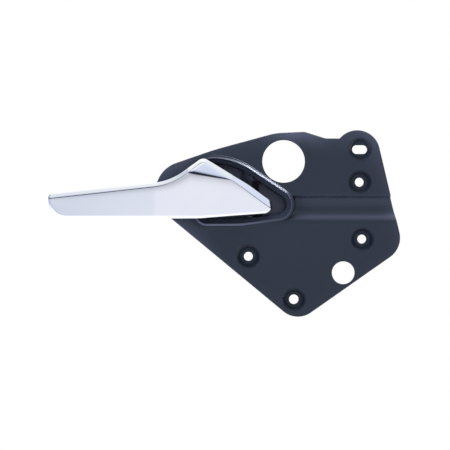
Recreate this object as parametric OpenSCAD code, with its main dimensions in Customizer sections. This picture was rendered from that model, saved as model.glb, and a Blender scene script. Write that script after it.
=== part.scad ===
// Interior door handle: a moulded plate with a pocket, and a plated lever that turns in it.
// Millimetres. X runs to the right, Z up, and the front faces -Y. The origin is the centre
// of the lowest screw hole, on the plane where the plate seats on the door.

/* [Sheet] */
// Wall of the moulded plate
sheet_t = 2.5; // [2:0.1:3]
// Space between the back of the plate and the door, which is also the channel's depth
standoff = 5; // [3.5:0.5:6]
// Height of the stiffening rim and ribs on the back
rib_h = 3; // [1.5:0.5:3.5]
// Thickness of the stiffening rim and ribs
rib_t = 1.6; // [1.2:0.1:2.2]

/* [Screw points] */
// Hole of a screw point
screw_bore = 5.4; // [4.6:0.1:6]
// Hole of the lowest screw point, the datum
datum_bore = 5.8; // [5:0.1:6.6]
// Mouth of the recess round a screw hole
cup_mouth = 13.2; // [12:0.2:15]
// Flat floor of the recess, where the screw head seats
cup_floor = 9.6; // [8.4:0.2:11]
// Wall between the recess floor and the door
seat_wall = 2.5; // [1.8:0.1:3]
// Wall of the boss behind a recess
boss_wall = 1.6; // [1.2:0.1:2]
// Left screw point, sideways from the datum
left_hole_x = -27.4; // [-32:0.2:-24]
// Left screw point, height over the datum
left_hole_z = 25.9; // [22:0.1:28]
// Upper screw point, sideways from the datum
upper_hole_x = 39.5; // [34:0.5:42]
// Upper screw point, height over the datum
upper_hole_z = 70.6; // [70:0.2:73]
// Right screw point, sideways from the datum
side_hole_x = 41; // [36:0.5:44]
// Right screw point, height over the datum
side_hole_z = 36.3; // [32:0.5:38]
// Slotted screw point, sideways from the datum
slot_x = 39.7; // [36:0.1:42]
// Slotted screw point, height over the datum
slot_z = 90.3; // [88:0.1:93]
// Length of the slot from end to end
slot_len = 9.1; // [7:0.1:10]
// Width of the slot
slot_w = 5.3; // [4.6:0.1:6]

/* [Large holes] */
// Diameter of the large round hole
lock_bore = 25.6; // [22:0.2:26]
// Large hole, sideways from the datum
lock_x = -6.3; // [-6.5:0.1:-2]
// Large hole, height over the datum
lock_z = 83; // [82.8:0.2:86]
// Diameter of the small round hole
service_bore = 13.7; // [10:0.1:15]
// Small hole, sideways from the datum
service_x = 29.5; // [26:0.5:31]
// Small hole, height over the datum
service_z = 16.1; // [15:0.5:19]

/* [Plate edge] */
// Corner under the datum hole, sideways from it
foot_lead = 1.6; // [0:0.2:3]
// Corner under the datum hole, distance below it
foot_drop = 13.8; // [12:0.2:18]
// Rounding of the corner under the datum hole
foot_r = 13.6; // [10:0.2:16]
// Corner beyond the right screw point, distance past it
side_reach = 24.5; // [22:0.5:30]
// Corner beyond the right screw point, distance below it
side_drop = 5.3; // [4:0.1:7]
// Rounding of the corner beyond the right screw point
side_r = 14.1; // [10:0.1:16]
// Corner over the slotted screw point, sideways from it
ear_lead = 5.5; // [4.5:0.1:7]
// Corner over the slotted screw point, distance over it
ear_rise = 26.5; // [24:0.1:30]
// Rounding of the ear round the slotted screw point
ear_r = 14; // [12:0.5:15]
// Flat step left of the ear, height over the slotted screw point
step_rise = 6.5; // [5:0.1:8]
// Flat step left of the ear, distance of its near end from the slotted screw point
step_near = 12.3; // [12:0.1:13]
// Flat step left of the ear, distance of its far end from the slotted screw point
step_far = 20.8; // [18:0.2:23]
// Corner right of the large hole's centre, distance past it
shoulder_lead = 12.5; // [10:0.5:15]
// Corner right of the large hole's centre, distance over it
shoulder_rise = 17.8; // [16:0.1:20]
// Corner left of the large hole's centre, distance before it
crown_lead = 4.9; // [3:0.1:7]
// Corner left of the large hole's centre, distance over it
crown_rise = 17; // [15.5:0.1:19]
// Corner over the pocket, distance left of the bend in its rim
brow_lead = 11.2; // [8:0.2:14]
// Corner over the pocket, distance over the top of the rim
brow_rise = 4.7; // [3.5:0.1:7]
// Corner left of the pocket, distance past it
nose_reach = 41.4; // [38:0.2:46]
// Corner left of the pocket, distance under the top of the rim
nose_drop = 13.9; // [12:0.1:16]
// Rounding of the corner left of the pocket
nose_r = 18.1; // [14:0.1:20]

/* [Pocket] */
// Left side of the pocket's rim
pocket_left = -60; // [-62:0.5:-58]
// Top of the pocket's rim
pocket_top = 85.4; // [84:0.2:87]
// Bottom of the pocket's rim
pocket_bottom = 45.1; // [43:0.1:46]
// Where the rim's top starts to fall to the right
pocket_bend_x = -36.5; // [-38:0.5:-35]
// Angle at which the rim's top falls to the right
pocket_fall = 33.3; // [31:0.1:35]
// Where the rim's bottom starts to rise to the right
pocket_heel_x = -32; // [-36:0.5:-26]
// Angle at which the rim's bottom rises to the right
pocket_lift = 7.6; // [5:0.2:9]
// Rounding of the rim at its right end
pocket_end_r = 9.2; // [8:0.2:11]
// Rounding of the rim at its lower left corner
pocket_low_r = 7.8; // [6:0.2:10]
// Rounding of the rim at its upper left corner
pocket_high_r = 11; // [9:0.5:13]
// Rounding of the rim where its top bends
pocket_bend_r = 42; // [30:1:48]
// Depth of the pocket from the front of the plate to its floor
pocket_depth = 21.5; // [20:0.5:26]
// How far the pocket's walls lean in from the rim to the floor
pocket_draft = 3.4; // [2:0.1:4]
// Wall and floor of the pocket
pocket_wall = 2.2; // [1.8:0.1:2.6]
// Height of the rim over the plate at its left end
rim_h_left = 3; // [2:0.1:4]
// Height of the rim over the plate at its right end
rim_h_right = 1; // [0.6:0.1:2]
// Width of the rim's outer slope at its left end
skirt_left = 3.4; // [2:0.1:4]
// Width of the rim's outer slope at its right end
skirt_right = 1.3; // [0.9:0.1:1.6]
// Half the width of the rim's crest
crest = 0.7; // [0.6:0.05:0.8]
// How far the sloping lip inside the rim reaches in
flare_w = 3.1; // [2:0.1:3.2]
// Depth of that lip's foot behind the front of the plate
flare_depth = 3.2; // [2:0.2:5]

/* [Channel] */
// Upper edge of the channel, height over the datum
channel_top = 62.8; // [61:0.2:63.4]
// Lower edge of the channel, height over the datum
channel_bottom = 47.4; // [45:0.2:49]
// Width of the channel's flat floor
channel_floor = 7.4; // [5:0.2:8]
// Width of the channel's steep upper wall
channel_steep = 1.8; // [1.2:0.1:2.4]
// Rounding at the foot of the channel's lower slope
channel_foot_r = 8; // [5:0.5:10]
// Rounding at the top of the channel's lower slope
channel_lip_r = 4; // [2:0.5:5]

/* [Lever front view] */
// Tip of the lever, sideways from the datum
tip_x = -145.5; // [-155:0.5:-135]
// Height of the tip's upper corner
tip_z = 62.8; // [61:0.1:64]
// Rounding of the tip's lower corner
tip_r = 11; // [8:0.2:12]
// Bottom edge of the lever
lever_bottom = 48.7; // [48:0.1:50]
// Foot of the sweep up to the peak, sideways from the datum
sweep_x = -73.7; // [-78:0.2:-71]
// Foot of the sweep up to the peak, height
sweep_z = 70.7; // [69:0.1:72]
// Peak of the lever, sideways from the datum
peak_x = -54.5; // [-57:0.2:-52]
// Peak of the lever, height
peak_z = 85; // [83:0.2:86]
// Rounding of the lever's peak
peak_r = 4.5; // [3:0.1:6]
// Rounding at the foot of the sweep
sweep_r = 36; // [24:1:44]
// Point of the edge between peak and tail, sideways from the datum
neck_x = -27.6; // [-30:0.2:-25]
// Point of the edge between peak and tail, height
neck_z = 69; // [68:0.1:70]
// Angle at which the edge falls from there to the tail
neck_fall = 35.5; // [34:0.1:37]
// Where the bottom edge starts to rise to the tail
rise_x = -56; // [-60:0.5:-50]
// Angle at which the bottom edge rises to the tail
tail_rise = 4; // [3:0.1:5]
// Rounding of the lever's tail in the pocket
tail_r = 4.9; // [4:0.1:6]
// Width of the bevel along the top edge, left of the peak
bevel_w = 2.4; // [1.6:0.1:3.2]
// Width of the bevel along the top edge, right of the peak
tail_bevel_w = 3.8; // [2.6:0.1:4.6]
// Height of the crease across the face, under the peak
crease_z = 74.3; // [73:0.1:77]
// Angle at which the crease falls to the right
crease_fall = 10.7; // [8:0.1:14]
// Rounding along the bottom edge
lip_r = 1.6; // [1:0.1:2]

/* [Lever seen from above] */
// How far the grip's face stands in front of the seating plane
grip_y = 28.4; // [26:0.2:34]
// Angle of the lever's root to the plate
root_angle = 18.3; // [16:0.1:20]
// Where the root's slope meets the grip
grip_x = -68; // [-72:0.5:-64]
// Radius of the bend between root and grip
bend_r = 100; // [60:5:120]
// Thickness of the plated blade
blade_t = 5; // [4.6:0.1:6]
// Thickness of the moulded core behind the blade
core_t = 4.4; // [3.6:0.1:5]
// How far the core stays inside the blade's outline
core_inset = 1.8; // [1.2:0.1:2.6]
// Angle at which the facet over the crease leans back
facet_lean = 16; // [10:1:22]
// Angle at which the bevel leans back
bevel_lean = 28; // [20:1:50]

/* [Pivot] */
// Pivot axis, sideways from the datum
pivot_x = -26; // [-28:0.2:-25]
// Pivot axis, depth behind the seating plane
pivot_y = 4; // [3:0.2:5]
// Lower end of the lever's hub
hub_bottom = 50; // [49.6:0.1:52]
// Upper end of the lever's hub
hub_top = 71; // [69:0.2:71.2]
// Diameter of the hub
hub_d = 10; // [9:0.2:11]
// Height of each of the hub's two knuckles
knuckle_h = 7; // [6:0.2:8]
// Diameter of the pivot pin
pin_d = 4; // [3:0.1:4.4]
// Wall of the bushes
bush_t = 1; // [0.8:0.1:1.2]
// Running clearance between pin and bush, on the radius
run_clear = 0.04; // [0.02:0.01:0.08]
// Clearance of parts that are fixed to each other
fit_clear = 0.05; // [0.03:0.01:0.08]
// Side gap between the hub and the pocket's bosses
side_gap = 0.3; // [0.2:0.1:0.6]
// How far the pin's bosses stand out of the pocket
boss_out = 3; // [2.6:0.1:3.6]
// Head of the pivot pin
pin_head_d = 7; // [6:0.2:8]
// Thickness of the clip on the pin
clip_t = 0.8; // [0.6:0.1:1]
// Diameter of the clip on the pin
clip_d = 8; // [7:0.2:9]
// Angle that the lever turns through when pulled
travel = 24; // [18:1:26]

/* [Cable crank] */
// Distance of the cable's end seat from the pivot
crank_r = 19; // [17:0.5:22]
// Width of the crank arm
crank_w = 7; // [6:0.2:8]
// Height of the crank arm along the pivot
crank_h = 5.5; // [5:0.1:5.8]
// How far the crank arm lies over the hub's lower end
crank_rise = 1; // [0.8:0.1:1.2]
// Bore for the cable's barrel end
nipple_bore = 5.2; // [4.6:0.1:5.6]
// Wall round the cable's barrel end
nipple_wall = 1.9; // [1.5:0.1:2.4]
// Slit that the cable passes through
cable_slit = 1.8; // [1.4:0.1:2.2]
// Position of the conduit's seat, sideways from the datum
conduit_x = 15; // [10:1:22]
// Diameter of the conduit's groove
conduit_d = 5; // [4:0.2:6]
// Wall beside the conduit's groove
conduit_wall = 3; // [2:0.2:4]
// Thickness of the conduit's post
post_t = 4; // [3:0.5:5]

/* [Spring and buffers] */
// Wire of the return spring
wire_d = 1.3; // [1:0.1:1.5]
// Turns of the return spring
spring_turns = 3; // [2:1:3]
// Where the spring's leg presses on the lever's tail, right of the pivot
tail_leg = 6.5; // [6:0.1:7.5]
// Where the spring's leg presses on the pocket's floor, right of the pivot
floor_leg = 8; // [7:0.2:9]
// Gap between the pin and the spring's coil
coil_gap = 1; // [0.6:0.1:1.2]
// Thickness of the rubber buffers
buffer_t = 2.4; // [1.8:0.1:3]
// Gap between the crank and a buffer
buffer_gap = 0.3; // [0.2:0.1:0.5]

/* [Blade screws] */
// Shank of the screws that hold the blade to the core
blade_screw_d = 3; // [2.4:0.1:3.4]
// Head of the screws that hold the blade to the core
blade_head_d = 6; // [5:0.2:6.6]
// Depth of the screws in the blade
blade_screw_in = 3.2; // [2.4:0.1:3.6]
// Height of the heads of the screws
blade_head_h = 1.8; // [1.4:0.1:2]
// First screw, distance from the tip
screw_from_tip = 22; // [18:1:28]
// Second screw, distance left of the bend
screw_before_bend = 22; // [15:1:30]
// Third screw, distance right of the bend
screw_after_bend = 12; // [8:1:15]

/* [Hidden] */

ROUND_FN = 64;
FULL = 360;
QUARTER = FULL / 4;
ARC_STEPS = 12;
FAR = 200;
CUT = 1;
EPS = 0.01;
SIDE_SHARE = 0.99;

plastic_black = [0.16, 0.18, 0.22];
chrome = [0.86, 0.88, 0.92];
nylon_black = [0.12, 0.13, 0.15];
steel = [0.7, 0.71, 0.73];
bush_white = [0.85, 0.84, 0.78];
rubber_black = [0.08, 0.08, 0.09];

front_y = -standoff - sheet_t;
back_y = -standoff;
channel_depth = standoff;
floor_y = front_y + pocket_depth;
house_y = floor_y + pocket_wall;

datum = [0, 0];
left_at = [left_hole_x, left_hole_z];
upper_at = [upper_hole_x, upper_hole_z];
side_at = [side_hole_x, side_hole_z];
slot_at = [slot_x, slot_z];
lock_at = [lock_x, lock_z];
service_at = [service_x, service_z];
round_points = [datum, left_at, upper_at, side_at];

// Straight line and corner geometry

function unit(v) = v / norm(v);
function flat(p) = [p.x, p.y];
function reversed(list) = [for (i = [len(list) - 1 : -1 : 0]) list[i]];
function between(v, low, high) = min(max(v, low), high);

// Length that the rounding at corner i takes from each side beside it
function taken(corners, i) =
    let (
        k = len(corners),
        d1 = flat(corners[i]) - flat(corners[(i + k - 1) % k]),
        d2 = flat(corners[(i + 1) % k]) - flat(corners[i])
    )
    corners[i].z == 0 ? 0 : corners[i].z * tan(abs(atan2(cross(d1, d2), d1 * d2)) / 2);

// Radius at corner i, less where it would run into the next corner's rounding
function fitted(corners, i) =
    let (
        k = len(corners),
        before = (i + k - 1) % k,
        after = (i + 1) % k,
        own = taken(corners, i),
        room_before = norm(flat(corners[i]) - flat(corners[before])) / (own + taken(corners, before)),
        room_after = norm(flat(corners[after]) - flat(corners[i])) / (own + taken(corners, after))
    )
    corners[i].z * min(1, SIDE_SHARE * room_before, SIDE_SHARE * room_after);

// Points of the rounding at corner b between corners a and c. A positive grow
// moves the line to its right, which is outwards on a loop that runs anticlockwise.
function corner(a, b, c, r, grow) =
    let (
        d1 = unit(b - a),
        d2 = unit(c - b),
        n1 = [d1.y, -d1.x],
        n2 = [d2.y, -d2.x],
        turn = atan2(cross(d1, d2), d1 * d2),
        side = sign(turn),
        rr = max(r + side * grow, EPS),
        tip = b + grow * (n1 + n2) / (1 + n1 * n2),
        mid = tip - d1 * rr * tan(abs(turn) / 2) - side * n1 * rr,
        start = atan2(side * n1.y, side * n1.x)
    )
    [
        for (i = [0 : ARC_STEPS])
            let (w = start + turn * i / ARC_STEPS)
            mid + rr * [cos(w), sin(w)]
    ];

// Closed loop through corners given as [x, z, radius]
function loop(corners, grow = 0) =
    let (k = len(corners))
    [for (i = [0 : k - 1]) each corner(
        flat(corners[(i + k - 1) % k]), flat(corners[i]), flat(corners[(i + 1) % k]),
        fitted(corners, i), grow)];

// Open path through corners given as [x, z, radius], with plain ends
function path(corners, grow = 0) =
    let (
        k = len(corners),
        d0 = unit(flat(corners[1]) - flat(corners[0])),
        d9 = unit(flat(corners[k - 1]) - flat(corners[k - 2]))
    )
    [
        flat(corners[0]) + grow * [d0.y, -d0.x],
        for (i = [1 : k - 2]) each corner(
            flat(corners[i - 1]), flat(corners[i]), flat(corners[i + 1]), fitted(corners, i), grow),
        flat(corners[k - 1]) + grow * [d9.y, -d9.x]
    ];

// Point where the line from p at angle a meets the line from q at angle b
function meet(p, a, q, b) =
    let (x = (q.y - p.y + p.x * tan(a) - q.x * tan(b)) / (tan(a) - tan(b)))
    [x, p.y + (x - p.x) * tan(a)];

// Children drawn in X and Z become a slab from y0 back to y1
module slab(y0, y1) {
    translate([0, y1, 0]) rotate([90, 0, 0]) linear_extrude(y1 - y0) children();
}

// Children drawn in X and Y become a block from z0 up to z1
module block(z0, z1) {
    translate([0, 0, z0]) linear_extrude(z1 - z0) children();
}

// Children drawn in Y and Z become a bar from x0 to the right
module bar_x(x0, length) {
    translate([x0, 0, 0]) rotate([90, 0, 90]) linear_extrude(length) children();
}

// Round bar along Y at a point given as [x, z]
module bar_y(at, d, y0, y1, d_back) {
    translate([at.x, y0, at.y])
        rotate([-90, 0, 0])
        cylinder(h = y1 - y0, d1 = d, d2 = is_undef(d_back) ? d : d_back, $fn = ROUND_FN);
}

// Round bar along Z through the pivot axis
module bar_z(d, z0, z1) {
    translate([pivot_x, pivot_y, z0]) cylinder(h = z1 - z0, d = d, $fn = ROUND_FN);
}

// Closed skin over rings with equal numbers of points. The rings close on
// themselves where ring_closed is set, and are capped at both ends where not.
module skin(rings, ring_closed = false) {
    n = len(rings[0]);
    k = len(rings);
    last = ring_closed ? k - 1 : k - 2;
    sides = [
        for (i = [0 : last], j = [0 : n - 1])
            let (a = i * n, b = ((i + 1) % k) * n, m = (j + 1) % n)
            each [[a + j, a + m, b + m], [a + j, b + m, b + j]]
    ];
    caps = ring_closed ? [] : [
        for (j = [1 : n - 2]) each [[0, j + 1, j], [(k - 1) * n, (k - 1) * n + j, (k - 1) * n + j + 1]]
    ];
    polyhedron(points = [for (r = rings) each r], faces = concat(sides, caps));
}

// Plate outline, anticlockwise from the corner under the datum

brow_r = 180;
crown_r = 36;
shoulder_r = 6;
step_far_r = 9;
step_near_r = 0.5;
plate_corners = [
    [foot_lead, -foot_drop, foot_r],
    [side_hole_x + side_reach, side_hole_z - side_drop, side_r],
    [slot_x + ear_lead, slot_z + ear_rise, ear_r],
    [slot_x - step_near, slot_z + step_rise, step_near_r],
    [slot_x - step_far, slot_z + step_rise, step_far_r],
    [lock_x + shoulder_lead, lock_z + shoulder_rise, shoulder_r],
    [lock_x - crown_lead, lock_z + crown_rise, crown_r],
    [pocket_bend_x - brow_lead, pocket_top + brow_rise, brow_r],
    [pocket_left - nose_reach, pocket_top - nose_drop, nose_r]
];

module plate_outline(grow = 0) {
    polygon(loop(plate_corners, grow));
}

// Pocket and its rim

pocket_heel_r = 60;
pocket_corner = [pocket_left, pocket_bottom];
pocket_heel = [pocket_heel_x, pocket_bottom];
pocket_bend = [pocket_bend_x, pocket_top];
pocket_tip = meet(pocket_bend, -pocket_fall, pocket_heel, pocket_lift);
pocket_corners = [
    [pocket_corner.x, pocket_corner.y, pocket_low_r],
    [pocket_heel.x, pocket_heel.y, pocket_heel_r],
    [pocket_tip.x, pocket_tip.y, pocket_end_r],
    [pocket_bend.x, pocket_bend.y, pocket_bend_r],
    [pocket_left, pocket_top, pocket_high_r]
];
rim_line = loop(pocket_corners);
rim_right = max([for (p = rim_line) p.x]);

// Height of the rim's top and bottom lines at x, right of their bends
function rim_top(x) = pocket_top - (x - pocket_bend_x) * tan(pocket_fall);
function rim_low(x) = pocket_bottom + (x - pocket_heel_x) * tan(pocket_lift);

// Share of the way from the rim's right end to its left end
function leftness(x) = (rim_right - x) / (rim_right - pocket_left);
function rim_h(x) = rim_h_right + (rim_h_left - rim_h_right) * leftness(x);
function skirt(x) = skirt_right + (skirt_left - skirt_right) * leftness(x);

// One ring round the pocket: grown from the rim by a share of the skirt and by
// an amount, at a share of the rim's height or at a depth behind the front face
function rim_ring(skirt_share, grow, h_share, depth) =
    let (wide = loop(pocket_corners, 1))
    [for (i = [0 : len(rim_line) - 1])
        let (
            p = rim_line[i],
            out = (wide[i] - p) * (skirt_share * skirt(p.x) + grow)
        )
        [p.x + out.x, front_y - h_share * rim_h(p.x) + depth, p.y + out.y]];

// Section of the rim from its inner side over the crest and down its outer slope,
// each point as [share of the skirt's width, share of the crest, share of the height]
rim_profile = [
    [0, -1, 0],
    [0, -0.85, 0.7],
    [0, -0.35, 0.95],
    [0, 0.2, 1],
    [0.18, 0.15, 0.85],
    [0.45, 0, 0.4],
    [0.75, 0, 0.12]
];
root_swell = 1.6;
wall_root = skirt_right + root_swell;
wall_waist = 0.4;
collar_rings = [
    rim_ring(0, -pocket_draft, 0, pocket_depth + pocket_wall),
    rim_ring(0, -flare_w, 0, flare_depth),
    for (p = rim_profile) rim_ring(p.x, p.y * crest, p.z, 0),
    rim_ring(1, 0, 0, sheet_t * 0.05),
    rim_ring(1, 0, 0, sheet_t * 0.5),
    rim_ring(0, wall_root, 0, channel_depth),
    rim_ring(0, wall_waist, 0, channel_depth + sheet_t * 1.2),
    rim_ring(0, pocket_wall - pocket_draft, 0, pocket_depth + pocket_wall)
];

module pocket_outline(grow) {
    polygon(loop(pocket_corners, grow));
}

// Channel: its front line in Y and Z from top to bottom, as [y, z, radius]
channel_left = rim_right - pocket_end_r;
channel_margin = 2;
channel_corner_r = 0.3;
channel_step_r = 0.6;
channel_front = [
    [front_y, channel_top, 0],
    [front_y, channel_top - channel_corner_r, channel_corner_r],
    [front_y + channel_depth, channel_top - channel_steep, channel_step_r],
    [front_y + channel_depth, channel_top - channel_steep - channel_floor, channel_foot_r],
    [front_y, channel_bottom, channel_lip_r],
    [front_y, channel_bottom - channel_margin, 0]
];

// Everything between the channel's line, moved by shift, and y_end
module channel_side(y_end, shift) {
    bar_x(channel_left, FAR) polygon(concat(
        path(channel_front, shift),
        [[y_end, channel_bottom - channel_margin], [y_end, channel_top]]
    ));
}

module plate_sheet() {
    difference() {
        slab(front_y, back_y) plate_outline();
        bar_x(channel_left, FAR)
            translate([-FAR / 2, channel_bottom - channel_margin])
            square([FAR, channel_top - channel_bottom + channel_margin]);
    }
    intersection() {
        slab(front_y - CUT, CUT) plate_outline();
        bar_x(channel_left, FAR)
            polygon(concat(path(channel_front), reversed(path(channel_front, -sheet_t))));
    }
}

// Boss behind the sheet at a screw point
module cup_boss(at) {
    bar_y(at, cup_mouth + 2 * boss_wall, back_y - EPS, 0, cup_floor + 2 * boss_wall);
}

module cup_recess(at) {
    bar_y(at, cup_mouth, front_y, -seat_wall, cup_floor);
    bar_y(at, cup_mouth, front_y - CUT, front_y + EPS);
}

module slot_cut() {
    reach = (slot_len - slot_w) / 2;
    for (s = [-1, 1]) bar_y(slot_at + [s * reach, 0], slot_w, front_y - CUT, CUT);
    slab(front_y - CUT, CUT) translate(slot_at) square([2 * reach, slot_w], center = true);
}

// Rib on the back between two points given as [x, z]
module rib(a, b) {
    d = b - a;
    slab(back_y - EPS, back_y + rib_h)
        translate(a)
        rotate(atan2(d.y, d.x))
        translate([0, -rib_t / 2])
        square([norm(d), rib_t]);
}

module back_ribs() {
    rib(pocket_corner, left_at);
    rib(pocket_heel, left_at);
    rib(pocket_heel, datum);
    rib(left_at, datum);
    rib(datum, service_at);
    rib(service_at, side_at);
    rib(lock_at, slot_at);
    rib(lock_at, upper_at);
    rib(slot_at, upper_at);
}

// All that is behind the sheet stays back from the plain holes by this much
hole_relief = 0.8;

boss_low = hub_bottom - side_gap;
boss_high = hub_top + side_gap;
pin_low = rim_low(pivot_x) - boss_out;
pin_high = rim_top(pivot_x) + boss_out;
pin_head_h = 1.4;
pin_nose = 1.2;
groove_d = pin_d - 1;
clip_play = 0.05;
clip_low = pin_low - clip_t - clip_play;
head_clear = 0.2;

// Bosses of the pocket that hold the ends of the pivot pin
module pin_bosses() {
    bar_z(hub_d, pin_low, boss_low);
    bar_z(hub_d, boss_high, pin_high);
}

crank_low = hub_bottom + crank_rise;
crank_high = crank_low + crank_h;
crank_mid = (crank_low + crank_high) / 2;
slot_side = 0.6;

// Plan positions where the crank's sides cross the middle of the pocket's floor
floor_mid = (floor_y + house_y) / 2;
stop_right = pivot_x + crank_w / 2 + buffer_gap;
stop_left = pivot_x - (floor_mid - pivot_y) * tan(travel) - (crank_w / 2 + buffer_gap) / cos(travel);

module crank_slot() {
    block(crank_low - slot_side, crank_high + slot_side)
        translate([stop_left - buffer_t, floor_y - CUT])
        square([stop_right - stop_left + 2 * buffer_t, pocket_wall + 2 * CUT]);
}

conduit_y = pivot_y + crank_r;
conduit_mouth = conduit_d * 0.84;
brace_t = 2;
brace_y = conduit_y * 0.6;

// Post on the back that holds the end of the cable's conduit
module conduit_post() {
    low = crank_mid - conduit_d / 2 - conduit_wall;
    high = crank_mid + conduit_d / 2 + conduit_wall;
    cut_x = conduit_x - post_t;
    difference() {
        intersection() {
            union() {
                block(low, high)
                    translate([conduit_x - post_t / 2, back_y])
                    square([post_t, conduit_y + conduit_d / 2 - back_y]);
                for (z = [low, high - brace_t]) block(z, z + brace_t)
                    translate([conduit_x - post_t * 2, back_y])
                    square([post_t * 4, brace_y - back_y]);
            }
            channel_side(FAR, -sheet_t / 2);
        }
        bar_x(cut_x, 2 * post_t) translate([conduit_y, crank_mid]) circle(d = conduit_d, $fn = ROUND_FN);
        bar_x(cut_x, 2 * post_t)
            translate([conduit_y, crank_mid - conduit_mouth / 2])
            square([conduit_d, conduit_mouth]);
    }
}

module mounting_plate() {
    color(plastic_black) difference() {
        union() {
            difference() {
                union() {
                    plate_sheet();
                    slab(back_y - EPS, back_y + rib_h) difference() {
                        plate_outline();
                        plate_outline(-rib_t);
                    }
                    back_ribs();
                    for (at = round_points) cup_boss(at);
                    cup_boss(slot_at);
                }
                slab(front_y - CUT, floor_y) pocket_outline(-crest / 2);
                intersection() {
                    slab(back_y - EPS, back_y + rib_h + CUT) plate_outline(CUT);
                    channel_side(front_y - CUT, 0);
                }
                bar_y(service_at, service_bore + 2 * hole_relief, back_y, CUT);
            }
            skin(collar_rings, true);
            slab(floor_y, house_y) pocket_outline(pocket_wall / 2 - pocket_draft);
            pin_bosses();
            conduit_post();
        }
        for (at = round_points) cup_recess(at);
        cup_recess(slot_at);
        bar_y(datum, datum_bore, front_y, CUT);
        for (at = [left_at, upper_at, side_at]) bar_y(at, screw_bore, front_y, CUT);
        slot_cut();
        bar_y(lock_at, lock_bore, front_y - rim_h_left - CUT, CUT);
        bar_y(lock_at, lock_bore + 2 * hole_relief, back_y, house_y + CUT);
        bar_y(service_at, service_bore, front_y - CUT, CUT);
        bar_z(pin_d + 2 * fit_clear, pin_low - CUT, pin_high + CUT);
        bar_z(pin_head_d + 2 * head_clear, pin_high, pin_high + pin_head_h + CUT);
        bar_z(clip_d + 2 * head_clear, clip_low - pin_nose - CUT, pin_low);
        crank_slot();
    }
}

// Lever

// Line of the lever's face seen from above, from beyond the tip to beyond the tail
root_slope = tan(root_angle);
beyond = 10;
face_path = path([
    [tip_x - beyond, -grip_y, 0],
    [grip_x, -grip_y, bend_r],
    [pivot_x + 2 * beyond, -grip_y + (pivot_x + 2 * beyond - grip_x) * root_slope, 0]
]);
function face_y(x) = lookup(x, face_path);

neck_r = 60;
rise_r = 60;
tip_upper_r = 2;
tail = meet([neck_x, neck_z], -neck_fall, [rise_x, lever_bottom], tail_rise);
// Closed outline of the lever in front view
lever_corners = [
    [tip_x, lever_bottom, tip_r],
    [rise_x, lever_bottom, rise_r],
    [tail.x, tail.y, tail_r],
    [neck_x, neck_z, neck_r],
    [peak_x, peak_z, peak_r],
    [sweep_x, sweep_z, sweep_r],
    [tip_x, tip_z, tip_upper_r]
];
// Upper edge of that outline from beyond the tip to the tail
top_corners = [
    [tip_x - beyond, tip_z - beyond * (sweep_z - tip_z) / (sweep_x - tip_x), 0],
    [sweep_x, sweep_z, sweep_r],
    [peak_x, peak_z, peak_r],
    [neck_x, neck_z, neck_r],
    [tail.x, tail.y, 0]
];
lever_loop = loop(lever_corners);
tail_end = max([for (p = lever_loop) p.x]);
tip_end = min([for (p = lever_loop) p.x]);

// Height of the outline's upper and lower side at x
function crossings(x) = [
    for (i = [0 : len(lever_loop) - 1])
        let (a = lever_loop[i], b = lever_loop[(i + 1) % len(lever_loop)])
        if ((a.x - x) * (b.x - x) <= 0 && a.x != b.x) a.y + (b.y - a.y) * (x - a.x) / (b.x - a.x)
];
function edge_top(x) = max(crossings(x));
function edge_low(x) = min(crossings(x));

// Width of the bevel at x, wider from the peak to the neck
function bevel_at(x) =
    bevel_w + (tail_bevel_w - bevel_w) * between((x - peak_x) / (neck_x - peak_x), 0, 1);
function crease_at(x) = crease_z - (x - peak_x) * tan(crease_fall);

// Largest shares of the blade's height that the lip, the face and the bevel's foot reach
lip_share = 0.3;
crease_share = 0.88;
bevel_share = 0.92;
back_bevel = 0.3;
rim_thick = 0.5;

// Section of the blade at x, from the bottom of its back round the front to the top
function blade_ring(x) =
    let (
        low = edge_low(x),
        top = edge_top(x),
        tall = top - low,
        r = min(lip_r, tall * lip_share),
        y = face_y(x),
        yb = y + blade_t,
        foot = lookup(x, path(top_corners, bevel_at(x))),
        zc = between(min(foot, crease_at(x)), low + r, low + crease_share * tall),
        zi = between(foot, zc, low + bevel_share * tall),
        yi = y + tan(facet_lean) * (zi - zc),
        yo = min(yi + tan(bevel_lean) * (top - zi), yb - rim_thick)
    )
    [
        [x, yb, low + back_bevel],
        for (w = [0, QUARTER / 2, QUARTER]) [x, y + r * (1 - sin(w)), low + r * (1 - cos(w))],
        [x, y, zc],
        [x, yi, zi],
        [x, yo, top],
        [x, yb, top - back_bevel]
    ];

blade_steps = 56;
blade_end = 0.05;
end_crowding = 0.25;
function blade_x(i) =
    let (t = i / blade_steps, s = (1 - cos(180 * t)) / 2)
    tip_end + blade_end
        + (tail_end - tip_end - 2 * blade_end) * ((1 - end_crowding) * t + end_crowding * s);

blade_screws = [tip_x + screw_from_tip, grip_x - screw_before_bend, grip_x + screw_after_bend];
screw_z = (lever_bottom + tip_z) / 2;
screw_tip_gap = 0.3;

module lever_blade() {
    color(chrome) difference() {
        skin([for (i = [0 : blade_steps]) blade_ring(blade_x(i))]);
        for (x = blade_screws) bar_y(
            [x, screw_z], blade_screw_d + 2 * fit_clear,
            face_y(x) + blade_t - blade_screw_in - screw_tip_gap, face_y(x) + blade_t + CUT);
    }
}

// Plan strip behind the blade, from the blade's back to a depth behind it
module back_strip(depth) {
    xs = [for (i = [0 : blade_steps]) blade_x(i)];
    polygon(concat(
        [for (x = xs) [x, face_y(x) + blade_t]],
        reversed([for (x = xs) [x, face_y(x) + blade_t + depth]])
    ));
}

arm_start = 18;
arm_left = grip_x + arm_start;
arm_step = 8;
arm_past_pivot = 1;
arm_right = pivot_x + arm_past_pivot;
function core_mid(x) = face_y(x) + blade_t + core_t / 2;

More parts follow.
